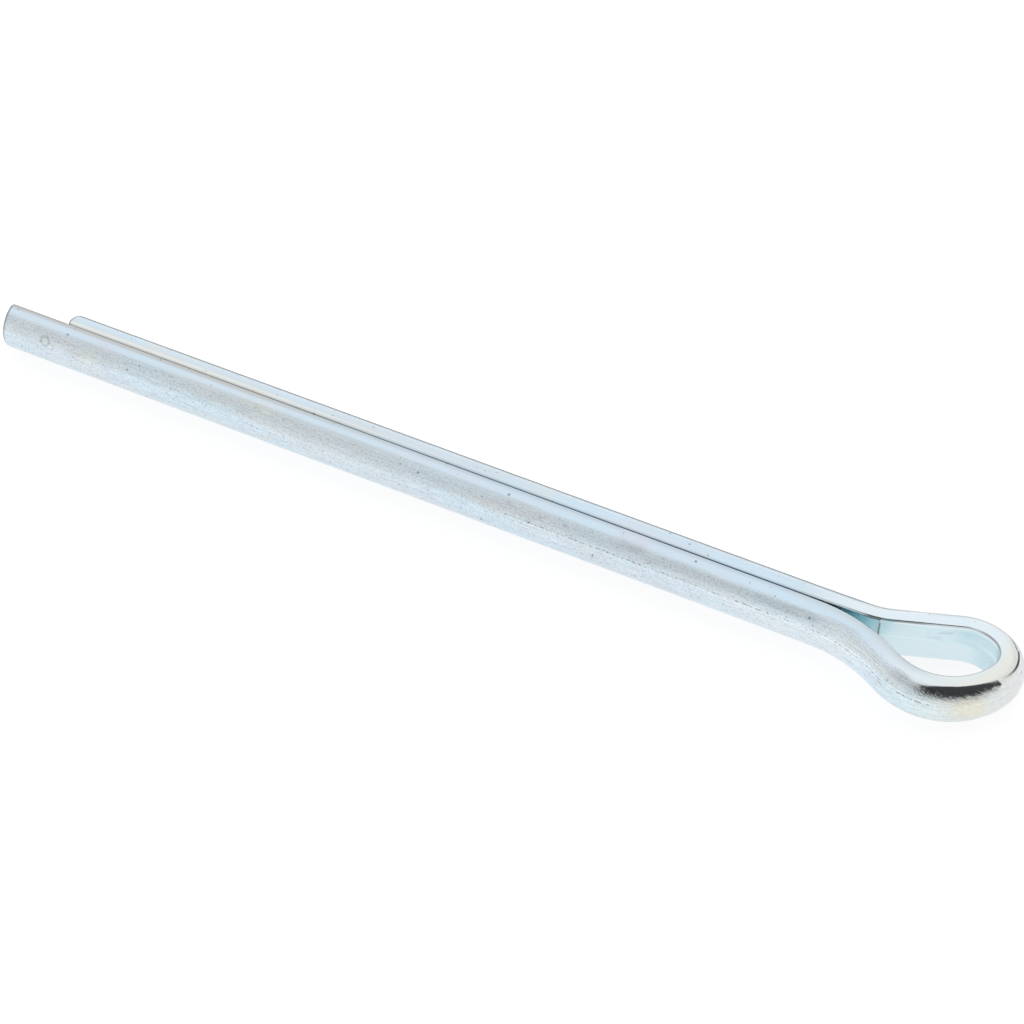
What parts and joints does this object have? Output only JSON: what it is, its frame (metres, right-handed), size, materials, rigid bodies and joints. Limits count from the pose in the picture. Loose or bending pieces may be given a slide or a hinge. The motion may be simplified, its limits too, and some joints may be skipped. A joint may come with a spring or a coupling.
{
  "type": "cotter pin",
  "caption": "Split pin of folded half-round wire with a long and a short leg and a leaning oval eye, to lock a castle nut or clevis pin.",
  "frame": {"origin": "on the shank's axis, where the round shank ends and the wire starts to open into the eye", "axes": "+X up the shank towards the eye, +Y towards the short leg, +Z along the axis of the eye's hole"},
  "size_m": [0.111, 0.0119, 0.0056],
  "materials": {
    "zinc_plate": "bright zinc plate with fine draw lines"
  },
  "bodies": {
    "root": {"cotter_pin": "zinc_plate"}
  },
  "joints": []
}
